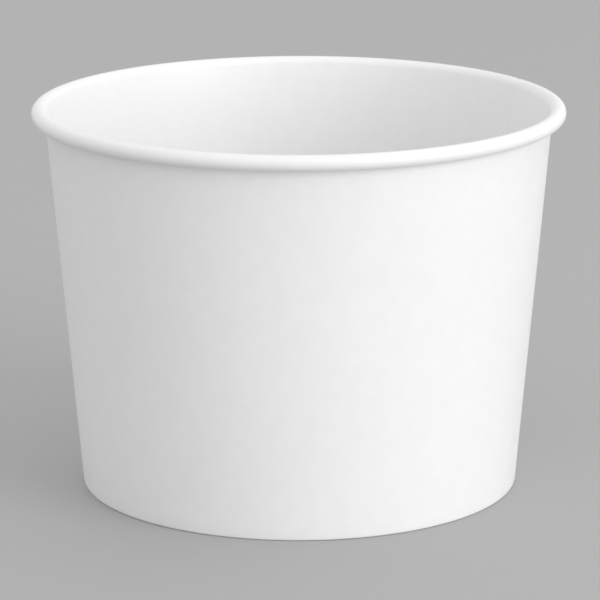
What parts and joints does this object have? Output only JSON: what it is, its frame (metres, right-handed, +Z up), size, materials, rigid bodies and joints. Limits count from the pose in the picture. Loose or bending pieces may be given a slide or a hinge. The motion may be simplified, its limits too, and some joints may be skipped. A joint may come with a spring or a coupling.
{
  "type": "paper soup cup",
  "caption": "Open tapered paper soup cup of white coated board with a rolled rim, a lapped side seam and a recessed base held in a folded foot.",
  "frame": {"origin": "centre of the foot ring on the table", "axes": "+Z up along the cup's axis, -Y towards the viewer, seam at the right and a little behind"},
  "size_m": [0.098, 0.098, 0.0713],
  "materials": {
    "cup_board": "satin",
    "base_board": "satin"
  },
  "bodies": {
    "root": {"sidewall": "cup_board", "bottom_disc": "base_board"}
  },
  "joints": []
}
